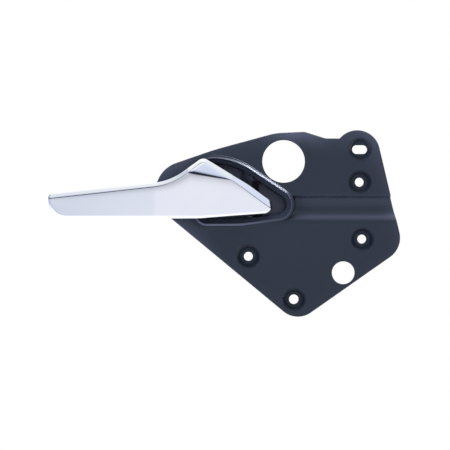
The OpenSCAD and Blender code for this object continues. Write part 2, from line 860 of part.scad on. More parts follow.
// Plan of the arms that join the grip to the hub
module arm_plan() {
    polygon([
        for (x = [arm_left, arm_left + arm_step, arm_right]) [x, core_mid(x)],
        [pivot_x + hub_d / 2, pivot_y],
        [pivot_x - hub_d / 2, pivot_y]
    ]);
    translate([pivot_x, pivot_y]) circle(d = hub_d, $fn = ROUND_FN);
}

// Plan of the crank arm, with a round end about the cable's seat
module crank_plan() {
    translate([pivot_x - crank_w / 2, pivot_y]) square([crank_w, crank_r]);
    translate([pivot_x, conduit_y]) circle(d = nipple_bore + 2 * nipple_wall, $fn = ROUND_FN);
}

head_floor = core_t - blade_head_h - head_clear;

module screw_hole(x) {
    y = face_y(x) + blade_t;
    bar_y([x, screw_z], blade_screw_d + 2 * fit_clear, y - CUT, y + core_t + CUT);
    bar_y([x, screw_z], blade_head_d + 2 * head_clear, y + head_floor, y + core_t + CUT);
}

bush_d = pin_d + 2 * run_clear + 2 * bush_t;

module lever_core() {
    color(nylon_black) difference() {
        union() {
            intersection() {
                slab(-FAR, FAR) polygon(loop(lever_corners, -core_inset));
                block(lever_bottom - CUT, peak_z + CUT) back_strip(core_t);
            }
            block(hub_bottom, hub_bottom + knuckle_h) arm_plan();
            block(hub_top - knuckle_h, hub_top) arm_plan();
            block(crank_low, crank_high) crank_plan();
        }
        bar_z(bush_d + 2 * fit_clear, hub_bottom - CUT, hub_top + CUT);
        block(crank_low - CUT, crank_high + CUT)
            translate([pivot_x, conduit_y])
            circle(d = nipple_bore, $fn = ROUND_FN);
        block(crank_low - CUT, crank_high + CUT)
            translate([pivot_x, conduit_y - cable_slit / 2])
            square([crank_w, cable_slit]);
        for (x = blade_screws) screw_hole(x);
    }
}

drive_w = 3.4;
drive_t = 0.8;
drive_depth = 0.9;

// Screw through the core into the blade at x
module blade_screw(x) {
    y = face_y(x) + blade_t;
    head_back = y + head_floor + blade_head_h;
    color(steel) difference() {
        union() {
            bar_y([x, screw_z], blade_screw_d, y - blade_screw_in, y + head_floor + EPS);
            bar_y([x, screw_z], blade_head_d, y + head_floor, head_back);
        }
        slab(head_back - drive_depth, head_back + CUT) translate([x, screw_z]) {
            square([drive_w, drive_t], center = true);
            square([drive_t, drive_w], center = true);
        }
    }
}

module blade_screw_tip() { blade_screw(blade_screws[0]); }
module blade_screw_grip() { blade_screw(blade_screws[1]); }
module blade_screw_root() { blade_screw(blade_screws[2]); }

module pivot_pin() {
    color(steel) difference() {
        union() {
            bar_z(pin_d, clip_low - pin_nose, pin_high + pin_head_h);
            bar_z(pin_head_d, pin_high + fit_clear, pin_high + pin_head_h);
        }
        difference() {
            bar_z(pin_d + CUT, clip_low - clip_play, pin_low);
            bar_z(groove_d, clip_low - CUT, pin_low + CUT);
        }
    }
}

clip_mouth = groove_d * 0.84;

module pin_clip() {
    color(steel) difference() {
        bar_z(clip_d, clip_low, clip_low + clip_t);
        bar_z(groove_d + 2 * clip_play, clip_low - CUT, pin_low + CUT);
        block(clip_low - CUT, pin_low + CUT)
            translate([pivot_x - clip_mouth / 2, pivot_y])
            square([clip_mouth, clip_d]);
    }
}

// Bush in one knuckle of the hub
module bush(z0) {
    color(bush_white) difference() {
        bar_z(bush_d, z0, z0 + knuckle_h);
        bar_z(pin_d + 2 * run_clear, z0 - CUT, z0 + knuckle_h + CUT);
    }
}

module lower_bush() { bush(hub_bottom); }
module upper_bush() { bush(hub_top - knuckle_h); }

// Return spring: a coil round the pin with a leg to the pocket's floor and a leg
// to the back of the lever's tail

seat_gap = 0.1;
turn_gap = 0.1;
coil_side_gap = 0.4;
coil_r = pin_d / 2 + coil_gap + wire_d / 2;
coil_from = 250;
coil_end = 150;
coil_to = coil_end - FULL * spring_turns;
turn_steps = 20;
coil_low = hub_bottom + knuckle_h + wire_d / 2 + coil_side_gap;
leg_start = 1.2;
wire_sides = 8;

function coil_point(a) = [
    pivot_x + coil_r * cos(a),
    pivot_y + coil_r * sin(a),
    coil_low + (wire_d + turn_gap) * (coil_from - a) / FULL
];

spring_line = [
    [pivot_x + tail_leg, face_y(pivot_x + tail_leg) + blade_t + core_t + wire_d / 2 + seat_gap, coil_low],
    for (a = [coil_from : -FULL / turn_steps : coil_to]) coil_point(a),
    for (reach = [leg_start, floor_leg])
        [pivot_x + reach, floor_y - wire_d / 2 - seat_gap, coil_point(coil_to).z]
];

// Ring of the wire's section at point i of a line
function wire_ring(line, i, r) =
    let (
        k = len(line) - 1,
        t = unit(line[min(i + 1, k)] - line[max(i - 1, 0)]),
        n = unit(cross(t, [0, 0, 1])),
        b = cross(n, t)
    )
    [
        for (j = [0 : wire_sides - 1])
            let (w = FULL * j / wire_sides)
            line[i] + r * (n * cos(w) + b * sin(w))
    ];

module return_spring() {
    color(steel) skin([for (i = [0 : len(spring_line) - 1]) wire_ring(spring_line, i, wire_d / 2)]);
}

// Rubber buffers clipped on the two ends of the crank's slot in the pocket's floor

lip = 1.2;

// Side of a buffer that the crank meets, as a plan point at depth y
function rest_face(y) = [stop_right, y];
function pull_face(y) = [stop_left - (y - floor_mid) * tan(travel), y];

// Buffer between the crank's side, given as two plan points, and the end of the slot
module buffer(near, far, end_x) {
    side = sign(end_x - near.x);
    low = crank_low - slot_side;
    high = crank_high + slot_side;
    color(rubber_black) {
        block(low, high) polygon([near, far, [end_x, far.y], [end_x, near.y]]);
        block(low, high) for (y = [near.y, house_y])
            let (
                c0 = near + (far - near) * (y - near.y) / (far.y - near.y),
                c1 = near + (far - near) * (y + lip - near.y) / (far.y - near.y)
            )
            polygon([c0, c1, [end_x + side * lip, c1.y], [end_x + side * lip, c0.y]]);
    }
}

module rest_buffer() {
    buffer(rest_face(floor_y - lip), rest_face(house_y + lip), stop_right + buffer_t);
}

module pull_buffer() {
    buffer(pull_face(floor_y - lip), pull_face(house_y + lip), stop_left - buffer_t);
}

mounting_plate();
lever_blade();
lever_core();
blade_screw_tip();
blade_screw_grip();
blade_screw_root();
pivot_pin();
pin_clip();
upper_bush();
lower_bush();
return_spring();
rest_buffer();
pull_buffer();
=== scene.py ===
"""Looks of the interior door handle: plated lever, moulded plate, hinge parts, light and camera.

Shapes are worked out in millimetres in the frame of the part (X right, Y into the door,
Z up, origin at the lowest screw hole) and put into the meshes in metres.
"""

import math

import bmesh
import bpy
import numpy as np
from mathutils import Matrix, Vector
from mathutils.geometry import delaunay_2d_cdt


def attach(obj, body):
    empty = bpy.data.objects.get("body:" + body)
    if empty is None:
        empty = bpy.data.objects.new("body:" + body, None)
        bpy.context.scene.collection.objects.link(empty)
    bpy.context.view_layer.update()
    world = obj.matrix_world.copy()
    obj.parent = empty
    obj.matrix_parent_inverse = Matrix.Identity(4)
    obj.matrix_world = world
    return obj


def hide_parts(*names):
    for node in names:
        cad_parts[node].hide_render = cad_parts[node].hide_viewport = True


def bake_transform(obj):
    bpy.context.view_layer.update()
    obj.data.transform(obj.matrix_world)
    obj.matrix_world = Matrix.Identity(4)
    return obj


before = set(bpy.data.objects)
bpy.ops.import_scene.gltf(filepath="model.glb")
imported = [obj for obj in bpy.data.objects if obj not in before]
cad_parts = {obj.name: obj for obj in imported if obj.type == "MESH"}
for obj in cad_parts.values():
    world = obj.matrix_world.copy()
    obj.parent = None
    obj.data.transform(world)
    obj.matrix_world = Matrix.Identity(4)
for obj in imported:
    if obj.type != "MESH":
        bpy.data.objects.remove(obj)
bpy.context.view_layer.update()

MM = 0.001
MERGE_AT = 2e-6


# Lines, curves and meshes


def unit(v):
    """Vector divided by its own length."""
    return v / np.linalg.norm(v)


def rounded_line(corners, closed=True, grow=0.0, steps=24):
    """Line through corners (x, z, radius), each corner replaced by its arc.

    An arc of radius r at a corner that turns by a starts r * tan(a / 2) before it. The line
    moves to its right by grow, which changes each radius by grow times the turn's sign.
    """
    pts = np.array([c[:2] for c in corners], float)
    radii = np.array([c[2] for c in corners], float)
    count = len(pts)
    turns = np.zeros(count)
    for i in range(count):
        d1 = unit(pts[i] - pts[i - 1])
        d2 = unit(pts[(i + 1) % count] - pts[i])
        turns[i] = math.atan2(d1[0] * d2[1] - d1[1] * d2[0], d1 @ d2)
    taken = radii * np.tan(np.abs(turns) / 2)
    out = []
    span = range(count) if closed else range(1, count - 1)
    if not closed:
        d = unit(pts[1] - pts[0])
        out.append(pts[:1] + grow * np.array([[d[1], -d[0]]]))
    for i in span:
        before, after = (i - 1) % count, (i + 1) % count
        room = 1.0
        for j in (before, after):
            if taken[i] + taken[j] > 0:
                room = min(room, 0.99 * np.linalg.norm(pts[i] - pts[j]) / (taken[i] + taken[j]))
        d1 = unit(pts[i] - pts[before])
        d2 = unit(pts[after] - pts[i])
        n1 = np.array([d1[1], -d1[0]])
        n2 = np.array([d2[1], -d2[0]])
        side = np.sign(turns[i])
        r = max(radii[i] * room + side * grow, 0.01)
        tip = pts[i] + grow * (n1 + n2) / (1 + n1 @ n2)
        mid = tip - d1 * r * math.tan(abs(turns[i]) / 2) - side * n1 * r
        w = math.atan2(side * n1[1], side * n1[0]) + turns[i] * np.linspace(0, 1, steps + 1)
        out.append(mid + r * np.stack([np.cos(w), np.sin(w)], 1))
    if not closed:
        d = unit(pts[-1] - pts[-2])
        out.append(pts[-1:] + grow * np.array([[d[1], -d[0]]]))
    return np.concatenate(out)


def finer(step, line, *others):
    """Closed line with its long segments cut into steps, and other rows of values cut alike."""
    rows = [line, *others]
    ends = [np.roll(row, -1, 0) for row in rows]
    count = np.maximum(np.ceil(np.hypot(*(ends[0] - line).T) / step).astype(int), 1)
    index = np.repeat(np.arange(len(line)), count)
    share = np.concatenate([np.arange(n) / n for n in count])[:, None]
    return [row[index] + share * (end[index] - row[index]) for row, end in zip(rows, ends)]


def distance_to(line, x, z, closed=False):
    """Shortest distance from each point to a line of segments, found segment by segment."""
    a = line if closed else line[:-1]
    b = np.roll(line, -1, 0) if closed else line[1:]
    best = np.full(x.shape, np.inf)
    for (ax, az), (bx, bz) in zip(a, b):
        ex, ez = bx - ax, bz - az
        size = ex * ex + ez * ez
        if size < 1e-12:
            continue
        t = np.clip(((x - ax) * ex + (z - az) * ez) / size, 0, 1)
        best = np.minimum(best, np.hypot(x - ax - t * ex, z - az - t * ez))
    return best


def smooth_step(v):
    """0 below 0, 1 above 1, and 3 v^2 - 2 v^3 between."""
    v = np.clip(v, 0, 1)
    return v * v * (3 - 2 * v)


def rolled(distance, radius):
    """Depth of a rounded edge at a distance inside it: r - sqrt(r^2 - (r - d)^2)."""
    d = np.clip(distance, 0, radius)
    return radius - np.sqrt(np.maximum(radius**2 - (radius - d) ** 2, 0))


def bell(v, width):
    """1 at 0, falling off to both sides as exp(-(v / width)^2)."""
    return np.exp(-((v / width) ** 2))


def smooth_max(a, b, soft):
    """The larger of two heights, rounded over by soft / 4 where they are equal."""
    near = np.maximum(soft - np.abs(a - b), 0) / soft
    return np.maximum(a, b) + near * near * soft / 4


def linked_object(name, data):
    """Object of a mesh, a lamp or a camera, in the scene."""
    obj = bpy.data.objects.new(name, data)
    bpy.context.scene.collection.objects.link(obj)
    return obj


def shaded_object(name, mesh, smooth_angle):
    """Object of a mesh that is smooth below an angle in degrees and sharp above it."""
    mesh.shade_smooth()
    mesh.set_sharp_from_angle(angle=math.radians(smooth_angle))
    return linked_object(name, mesh)


def mesh_object(name, verts, faces, smooth_angle=35.0):
    """Object from points in millimetres and faces as index rows."""
    mesh = bpy.data.meshes.new(name)
    mesh.from_pydata((np.asarray(verts, float) * MM).tolist(), [], faces)
    mesh.validate()
    return shaded_object(name, mesh, smooth_angle)


def opened(mesh, merge_at):
    """Editable form of a mesh, with the points closer than a distance in metres merged."""
    bm = bmesh.new()
    bm.from_mesh(mesh)
    bmesh.ops.remove_doubles(bm, verts=bm.verts, dist=merge_at)
    return bm


def put_back(bm, mesh):
    """Writes an editable form back to its mesh and frees it."""
    bm.to_mesh(mesh)
    bm.free()


def cad_copy(node, name):
    """Copy of a CAD node's mesh without its materials, and its editable form with doubles merged."""
    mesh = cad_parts[node].data.copy()
    mesh.name = name
    mesh.materials.clear()
    return mesh, opened(mesh, MERGE_AT)


def strip_faces(rows, cols, wrap_rows=False, wrap_cols=False, first=0):
    """Four-sided faces between neighbouring rows and columns of a grid of points."""
    i = np.arange(rows if wrap_rows else rows - 1)
    j = np.arange(cols if wrap_cols else cols - 1)
    i, j = np.meshgrid(i, j, indexing="ij")
    i1, j1 = (i + 1) % rows, (j + 1) % cols
    quads = np.stack([i * cols + j, i * cols + j1, i1 * cols + j1, i1 * cols + j], -1)
    return (quads.reshape(-1, 4) + first).tolist()


def face_outwards(obj):
    """Turns the faces of a closed piece so that all of them point away from its inside."""
    bm = opened(obj.data, 1e-7)
    bmesh.ops.recalc_face_normals(bm, faces=bm.faces)
    put_back(bm, obj.data)
    return obj


def store(obj, name, values):
    """Stores a value at each of a mesh's points, which its finish reads."""
    layer = obj.data.attributes.new(name, "FLOAT", "POINT")
    layer.data.foreach_set("value", np.asarray(values, np.float32))


# Effects and materials


def add_node(tree, kind, **settings):
    """New node of a kind, with its properties and, by name, its sockets set."""
    node = tree.nodes.new(kind)
    for key, value in settings.items():
        if key in node.inputs:
            node.inputs[key].default_value = value
        else:
            setattr(node, key, value)
    return node


def effect_group(name, inputs, outputs):
    """Empty shader node group with named float, vector and colour sockets."""
    group = bpy.data.node_groups.new(name, "ShaderNodeTree")
    for label, (kind, value) in inputs.items():
        socket = group.interface.new_socket(label, in_out="INPUT", socket_type=kind)
        if value is not None:
            socket.default_value = value
    for label, kind in outputs.items():
        group.interface.new_socket(label, in_out="OUTPUT", socket_type=kind)
    return group, group.nodes.new("NodeGroupInput"), group.nodes.new("NodeGroupOutput")


FLOAT, VECTOR, COLOUR = "NodeSocketFloat", "NodeSocketVector", "NodeSocketColor"


def make_grain_group():
    """Moulded skin: fine noise plus a coarser swell, as one height."""
    group, inside, outside = effect_group(
        "moulded_grain",
        {
            "Point": (VECTOR, None),
            "Grain": (FLOAT, 2200.0),
            "Swell": (FLOAT, 60.0),
            "Share": (FLOAT, 0.3),
        },
        {"Height": FLOAT},
    )
    link = group.links.new
    fine = add_node(group, "ShaderNodeTexNoise", Detail=3.0, Roughness=0.6)
    slow = add_node(group, "ShaderNodeTexNoise", Detail=1.0, Roughness=0.4)
    mix = add_node(group, "ShaderNodeMix", data_type="FLOAT")
    link(inside.outputs["Point"], fine.inputs["Vector"])
    link(inside.outputs["Grain"], fine.inputs["Scale"])
    link(inside.outputs["Point"], slow.inputs["Vector"])
    link(inside.outputs["Swell"], slow.inputs["Scale"])
    link(inside.outputs["Share"], mix.inputs[0])
    link(fine.outputs["Fac"], mix.inputs[2])
    link(slow.outputs["Fac"], mix.inputs[3])
    link(mix.outputs[0], outside.inputs["Height"])
    return group


def make_drift_group():
    """Slow change between two colours, as a moulding or plating shows over its length."""
    group, inside, outside = effect_group(
        "tone_drift",
        {
            "Point": (VECTOR, None),
            "Size": (FLOAT, 25.0),
            "Low": (COLOUR, (0.1, 0.1, 0.1, 1)),
            "High": (COLOUR, (0.2, 0.2, 0.2, 1)),
        },
        {"Color": COLOUR, "Mask": FLOAT},
    )
    link = group.links.new
    noise = add_node(group, "ShaderNodeTexNoise", Detail=4.0, Roughness=0.55)
    spread = add_node(group, "ShaderNodeMapRange")
    spread.inputs["From Min"].default_value = 0.35
    spread.inputs["From Max"].default_value = 0.65
    mix = add_node(group, "ShaderNodeMix", data_type="RGBA")
    link(inside.outputs["Point"], noise.inputs["Vector"])
    link(inside.outputs["Size"], noise.inputs["Scale"])
    link(noise.outputs["Fac"], spread.inputs["Value"])
    link(spread.outputs["Result"], mix.inputs[0])
    link(inside.outputs["Low"], mix.inputs[6])
    link(inside.outputs["High"], mix.inputs[7])
    link(mix.outputs[2], outside.inputs["Color"])
    link(spread.outputs["Result"], outside.inputs["Mask"])
    return group


def make_wear_group():
    """Rubbed edges: a mask from the surface's sharpness, broken up by noise."""
    group, inside, outside = effect_group(
        "rubbed_edge",
        {
            "Point": (VECTOR, None),
            "From": (FLOAT, 0.52),
            "To": (FLOAT, 0.62),
            "Break": (FLOAT, 400.0),
        },
        {"Mask": FLOAT},
    )
    link = group.links.new
    shape = add_node(group, "ShaderNodeNewGeometry")
    noise = add_node(group, "ShaderNodeTexNoise", Detail=3.0)
    spread = add_node(group, "ShaderNodeMapRange")
    product = add_node(group, "ShaderNodeMath", operation="MULTIPLY")
    link(shape.outputs["Pointiness"], spread.inputs["Value"])
    link(inside.outputs["From"], spread.inputs["From Min"])
    link(inside.outputs["To"], spread.inputs["From Max"])
    link(inside.outputs["Point"], noise.inputs["Vector"])
    link(inside.outputs["Break"], noise.inputs["Scale"])
    link(spread.outputs["Result"], product.inputs[0])
    link(noise.outputs["Fac"], product.inputs[1])
    link(product.outputs[0], outside.inputs["Mask"])
    return group


def make_painted_light_group():
    """Painted light and shade: the colour mixed towards Light where the surface's stored tone is above 0,
    and towards Dark below 0.
    """
    group, inside, outside = effect_group(
        "painted_light_and_shade",
        {
            "Color": (COLOUR, (0.1, 0.1, 0.1, 1)),
            "Light": (COLOUR, (0.18, 0.20, 0.32, 1)),
            "Dark": (COLOUR, (0.001, 0.0015, 0.003, 1)),
        },
        {"Color": COLOUR},
    )
    link = group.links.new
    tone = add_node(group, "ShaderNodeAttribute", attribute_name="tone")
    colour = inside.outputs["Color"]
    for label, far in (("Light", 1.0), ("Dark", -1.0)):
        spread = add_node(group, "ShaderNodeMapRange")
        spread.inputs["From Max"].default_value = far
        mix = add_node(group, "ShaderNodeMix", data_type="RGBA")
        link(tone.outputs["Fac"], spread.inputs["Value"])
        link(spread.outputs["Result"], mix.inputs[0])
        link(colour, mix.inputs[6])
        link(inside.outputs[label], mix.inputs[7])
        colour = mix.outputs[2]
    link(colour, outside.inputs["Color"])
    return group


GRAIN = make_grain_group()
DRIFT = make_drift_group()
WEAR = make_wear_group()
# group that mixes painted light and shade into a plastic's colour
PAINTED_LIGHT = make_painted_light_group()
CLOUDING = 0.015
POLISH_DROP = 0.22


def place_group(tree, group, point, **values):
    """A group's node in a material, fed with the object's coordinates and its own values."""
    node = tree.nodes.new("ShaderNodeGroup")
    node.node_tree = group
    tree.links.new(point, node.inputs["Point"])
    for key, value in values.items():
        node.inputs[key].default_value = value
    return node


def new_material(name):
    """Material with its node tree, its surface shader and the object's coordinates."""
    material = bpy.data.materials.new(name)
    material.use_nodes = True
    tree = material.node_tree
    surface = tree.nodes["Principled BSDF"]
    point = add_node(tree, "ShaderNodeTexCoord").outputs["Object"]
    return material, tree, surface, point


def moulded_plastic(
    name, low, high, edge, roughness, grain=3600.0, bump=0.006, specular=0.3, tint=(1, 1, 1)
):
    """Satin moulded plastic: drifting tone, lighter rubbed edges, fine skin in the bump.

    Painted light and shade, stored as the surface's tone, lightens or darkens it, and a polish of 1 lowers
    the roughness by POLISH_DROP.
    """
    material, tree, surface, point = new_material(name)
    link = tree.links.new
    tone = place_group(tree, DRIFT, point, Size=22.0, Low=(*low, 1), High=(*high, 1))
    rub = place_group(tree, WEAR, point)
    mix = add_node(tree, "ShaderNodeMix", data_type="RGBA")
    mix.inputs[7].default_value = (*edge, 1)
    # painted light and shade from the surface's stored tone, mixed into the base colour
    painted_light_mix = tree.nodes.new("ShaderNodeGroup")
    painted_light_mix.node_tree = PAINTED_LIGHT
    link(tone.outputs["Color"], mix.inputs[6])
    link(rub.outputs["Mask"], mix.inputs[0])
    link(mix.outputs[2], painted_light_mix.inputs["Color"])
    link(painted_light_mix.outputs["Color"], surface.inputs["Base Color"])
    gloss = add_node(tree, "ShaderNodeMapRange")
    gloss.inputs["To Min"].default_value = roughness - CLOUDING
    gloss.inputs["To Max"].default_value = roughness + CLOUDING
    link(tone.outputs["Mask"], gloss.inputs["Value"])
    polish = add_node(tree, "ShaderNodeAttribute", attribute_name="polish")
    smoother = add_node(tree, "ShaderNodeMath", operation="MULTIPLY_ADD")
    smoother.inputs[1].default_value = -POLISH_DROP
    link(polish.outputs["Fac"], smoother.inputs[0])
    link(gloss.outputs["Result"], smoother.inputs[2])
    link(smoother.outputs[0], surface.inputs["Roughness"])
    skin = place_group(tree, GRAIN, point, Grain=grain)
    relief = add_node(tree, "ShaderNodeBump", Strength=0.4, Distance=bump * MM)
    link(skin.outputs["Height"], relief.inputs["Height"])
    link(relief.outputs["Normal"], surface.inputs["Normal"])
    surface.inputs["Specular IOR Level"].default_value = specular
    surface.inputs["Specular Tint"].default_value = (*tint, 1)
    return material


def bright_metal(name, low, high, roughness, brushed=None, bump=0.002):
    """Metal: tone drift, slightly clouded gloss, and fine lines where brushed along an axis."""
    material, tree, surface, point = new_material(name)
    link = tree.links.new
    surface.inputs["Metallic"].default_value = 1.0
    tone = place_group(tree, DRIFT, point, Size=30.0, Low=(*low, 1), High=(*high, 1))
    link(tone.outputs["Color"], surface.inputs["Base Color"])
    gloss = add_node(tree, "ShaderNodeMapRange")
    gloss.inputs["To Min"].default_value = roughness * 0.8
    gloss.inputs["To Max"].default_value = roughness * 1.25
    link(tone.outputs["Mask"], gloss.inputs["Value"])
    link(gloss.outputs["Result"], surface.inputs["Roughness"])
    stretch = add_node(tree, "ShaderNodeMapping")
    if brushed:
        stretch.inputs["Scale"].default_value = brushed
    link(point, stretch.inputs["Vector"])
    skin = place_group(tree, GRAIN, stretch.outputs["Vector"], Grain=900.0, Swell=120.0)
    relief = add_node(tree, "ShaderNodeBump", Strength=0.3, Distance=bump * MM)
    link(skin.outputs["Height"], relief.inputs["Height"])
    link(relief.outputs["Normal"], surface.inputs["Normal"])
    return material


plate_finish = moulded_plastic(
    "satin_plate_plastic", (0.0192, 0.0264, 0.0424), (0.0200, 0.0274, 0.0440), (0.03, 0.035, 0.05),
    0.32, bump=0.002, specular=0.27, tint=(0.80, 0.86, 1.0),
)
core_finish = moulded_plastic(
    "black_core_nylon", (0.0060, 0.0080, 0.0140), (0.0080, 0.0100, 0.0170), (0.03, 0.03, 0.04),
    0.55, 2600.0, 0.012, 0.2,
)
rubber_finish = moulded_plastic(
    "black_rubber", (0.006, 0.006, 0.007), (0.012, 0.012, 0.012), (0.03, 0.03, 0.03), 0.75, 900.0, 0.06, 0.3
)
bush_finish = moulded_plastic(
    "white_bush_plastic", (0.66, 0.65, 0.58), (0.72, 0.71, 0.66), (0.8, 0.8, 0.76), 0.4, 1200.0, 0.02
)
plated_finish = bright_metal("polished_plating", (0.83, 0.855, 0.93), (0.86, 0.88, 0.94), 0.05)
zinc_finish = bright_metal("zinc_steel", (0.52, 0.53, 0.55), (0.62, 0.63, 0.64), 0.28, (1, 1, 12), 0.006)
spring_finish = bright_metal("spring_steel", (0.40, 0.40, 0.41), (0.52, 0.52, 0.53), 0.3, (1, 1, 6), 0.006)

CARRIED = {
    "lever_core": core_finish,
    "blade_screw_tip": zinc_finish,
    "blade_screw_grip": zinc_finish,
    "blade_screw_root": zinc_finish,
    "pivot_pin": zinc_finish,
    "pin_clip": zinc_finish,
    "upper_bush": bush_finish,
    "lower_bush": bush_finish,
    "rest_buffer": rubber_finish,
    "pull_buffer": rubber_finish,
}
for node, finish in CARRIED.items():
    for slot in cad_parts[node].material_slots:
        slot.material = finish


# Lever blade

GRIP_Y = -28.4
ROOT_SLOPE = math.tan(math.radians(18.3))
BEND_X, BEND_R = -68.0, 100.0
BLADE_T = 5.0
LIP_R = 1.6
EDGE_R = 0.3
THINNEST = 0.45
BEVEL_W, BEVEL_MORE = 2.4, 1.4
BEVEL_LEAN = math.tan(math.radians(28))
FACET_LEAN = math.tan(math.radians(16))
CREASE_Z, CREASE_FALL = 74.3, math.tan(math.radians(10.7))
CROWN = 0.009
RIDGE_RISE, RIDGE_W = 0.09, 0.22
BLADE_SECTIONS, END_ROUND, END_GAP = 341, 1.7, 0.003
PEAK = (-54.5, 85.0)
ROOT_KNEE = (-27.6, 69.0)
LEVER_CORNERS = [
    (-145.5, 48.7, 11.0),
    (-56.0, 48.7, 60.0),
    (-4.217, 52.321, 4.9),
    (*ROOT_KNEE, 60.0),
    (*PEAK, 4.5),
    (-73.7, 70.7, 36.0),
    (-145.5, 62.8, 2.0),
]
TOP_CORNERS = [(-155.5, 61.7, 0.0), *LEVER_CORNERS[5:2:-1], (-4.217, 52.321, 0.0)]


def blade_face_y(x):
    """Depth of the grip's face seen from above: flat, then a bend of radius 100, then the root."""
    near, far = -160.0, 20.0
    root_y = GRIP_Y + (far - BEND_X) * ROOT_SLOPE
    line = rounded_line(
        [(near, GRIP_Y, 0), (BEND_X, GRIP_Y, BEND_R), (far, root_y, 0)], closed=False, steps=60
    )
    return np.interp(x, line[:, 0], line[:, 1])


def upper_and_lower(outline, x):
    """Heights of a closed outline's upper and lower side at each x."""
    left, right = outline[:, 0].argmin(), outline[:, 0].argmax()
    turned = np.roll(outline, -left, 0)
    cut = (right - left) % len(outline)
    low, top = turned[: cut + 1], np.vstack([turned[cut:], turned[:1]])[::-1]
    return np.interp(x, top[:, 0], top[:, 1]), np.interp(x, low[:, 0], low[:, 1])


def blade_stations(outline):
    """The x of each section: closer towards both ends, and closest within END_ROUND of them."""
    x0, x1 = outline[:, 0].min() + END_GAP, outline[:, 0].max() - END_GAP
    t = np.linspace(0, 1, BLADE_SECTIONS)
    x = x0 + (x1 - x0) * (0.55 * t + 0.45 * (1 - np.cos(np.pi * t)) / 2)
    ease = END_ROUND * (1 - np.cos(np.pi * np.linspace(0, 1, 15)[1:] / 2))
    return np.unique(np.concatenate([x, x0 + ease, x1 - ease]))


def blade_surface():
    """Plated blade as sections at each x, from the bottom lip over the face to the top edge.

    A point's depth is the bent face plus the largest of these, rounded over where they meet:
    a slight crown, the facet over the crease (leaning 16 degrees), the bevel along the top
    edge (leaning 28 degrees), and the lip, r - sqrt(r^2 - (r - d)^2) at a distance d inside
    the outline. A fine ridge lies along the bevel's foot at the peak. The ring then runs down
    the top side, over the flat back and up the lower side.
    """
    outline = rounded_line(LEVER_CORNERS, steps=48)
    top_line = rounded_line(TOP_CORNERS, closed=False, steps=48)
    x = blade_stations(outline)
    top, low = upper_and_lower(outline, x)
    tall = top - low
    share = np.clip((x - PEAK[0]) / (ROOT_KNEE[0] - PEAK[0]), 0, 1)
    bevel = BEVEL_W + BEVEL_MORE * share
    near = rounded_line(TOP_CORNERS, False, BEVEL_W, 48)
    far = rounded_line(TOP_CORNERS, False, BEVEL_W + BEVEL_MORE, 48)
    foot = np.interp(x, near[:, 0], near[:, 1]) * (1 - share) + np.interp(x, far[:, 0], far[:, 1]) * share
    crease = CREASE_Z - (x - PEAK[0]) * CREASE_FALL
    lip = np.minimum(LIP_R, 0.45 * tall)
    zc = np.clip(np.minimum(foot, crease), low + lip, low + 0.88 * tall)
    zi = np.clip(foot, zc, low + 0.94 * tall)

    knots = [low, low + lip, zc - 0.6, zc, zc + 0.6, zi - 0.25, zi + 0.5, top - 0.5, top]
    knots = np.maximum.accumulate(np.minimum(np.stack(knots), top), 0)
    counts = [10, 22, 8, 8, 8, 6, 8, 8]
    rows = []
    for k, n in enumerate(counts):
        s = np.linspace(0, 1, n + 1)[:-1, None]
        if k == 0:
            s = 1 - np.cos(s * np.pi / 2)
        if k == len(counts) - 1:
            s = np.sin(s * np.pi / 2)
        rows.append(knots[k] + (knots[k + 1] - knots[k]) * s)
    z = np.concatenate([*rows, top[None]])
    xx = np.broadcast_to(x, z.shape)

    inside = distance_to(outline, xx, z, closed=True)
    from_top = distance_to(top_line, xx, z)
    across = np.clip((z - low) / np.maximum(zc - low, 0.1), 0, 1) * 2 - 1
    crown = CROWN * (zc - low) * across * across
    facet = FACET_LEAN * (z - crease)
    foot_depth = np.maximum(FACET_LEAN * (zi - crease), 0)
    slope = foot_depth + BEVEL_LEAN * (bevel - from_top)
    low_side = np.clip((from_top - inside) / 0.6, 0, 1)
    crease_soft = 0.41 - 0.24 * np.clip((x + 58.0) / 22.0, 0, 1)
    bevel_soft = 0.27 - 0.13 * np.clip((x + 50.0) / 10.0, 0, 1)
    at_peak = np.clip((x + 63.0) / 3.0, 0, 1) * np.clip((-51.0 - x) / 3.0, 0, 1)
    depth = smooth_max(smooth_max(crown, facet, crease_soft), slope, bevel_soft)
    depth = depth + RIDGE_RISE * at_peak * bell(from_top - bevel, RIDGE_W)
    depth = depth + rolled(inside, LIP_R) * low_side + rolled(inside, EDGE_R) * (1 - low_side)
    y_back = blade_face_y(x) + BLADE_T
    y = np.minimum(blade_face_y(x) + depth, y_back - THINNEST)

    ring_y = np.concatenate([y, [y_back - EDGE_R, y_back, y_back, y_back - EDGE_R]])
    inset = np.minimum(EDGE_R, 0.2 * tall)
    ring_z = np.concatenate([z, [top, top - inset, low + inset, low]])
    ring = np.stack([np.broadcast_to(x, ring_y.shape), ring_y, ring_z], -1).transpose(1, 0, 2)
    rows, cols = ring.shape[:2]
    faces = strip_faces(rows, cols, wrap_cols=True)
    faces.append(list(range(cols)))
    faces.append([(rows - 1) * cols + j for j in reversed(range(cols))])
    return ring.reshape(-1, 3), faces


blade = face_outwards(mesh_object("plated_blade", *blade_surface(), smooth_angle=50.0))
blade.data.materials.append(plated_finish)
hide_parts("lever_blade")
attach(blade, "lever")


# Moulded plate

